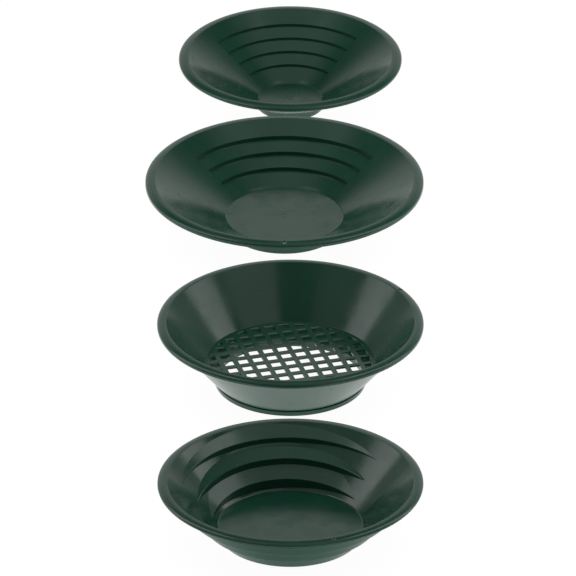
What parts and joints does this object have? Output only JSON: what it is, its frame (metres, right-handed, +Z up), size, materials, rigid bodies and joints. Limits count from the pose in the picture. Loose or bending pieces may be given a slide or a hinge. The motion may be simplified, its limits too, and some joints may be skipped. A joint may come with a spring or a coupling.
{
  "type": "gold pan",
  "caption": "Gold panning set of round moulded bowls: a small and a large riffled pan, a mesh-bottomed classifier and a deep sluice pan with stepped riffles.",
  "frame": {"origin": "on the table, at the middle of the row the pieces stand in", "axes": "+Z up; +Y along the row, from the sluice pan to the small pan; +X to the right of someone looking along +Y"},
  "size_m": [0.3556, 1.456, 0.0856],
  "materials": {
    "pan_green": "semi-gloss moulded, dark green",
    "screen_green": "semi-gloss moulded, dark green"
  },
  "bodies": {
    "sluice_pan": {"sluice_pan": "pan_green"},
    "large_pan": {"large_pan": "pan_green"},
    "small_pan": {"small_pan": "pan_green"},
    "classifier": {"classifier_bowl": "pan_green", "classifier_screen": "screen_green"}
  },
  "joints": [
    {"name": "large_pan_lift", "type": "slide", "parent": "sluice_pan", "child": "large_pan", "axis": [0, 0, 1], "range_m": [0, 0.15]},
    {"name": "small_pan_lift", "type": "slide", "parent": "sluice_pan", "child": "small_pan", "axis": [0, 0, 1], "range_m": [0, 0.15]},
    {"name": "classifier_lift", "type": "slide", "parent": "sluice_pan", "child": "classifier", "axis": [0, 0, 1], "range_m": [0, 0.15]}
  ]
}
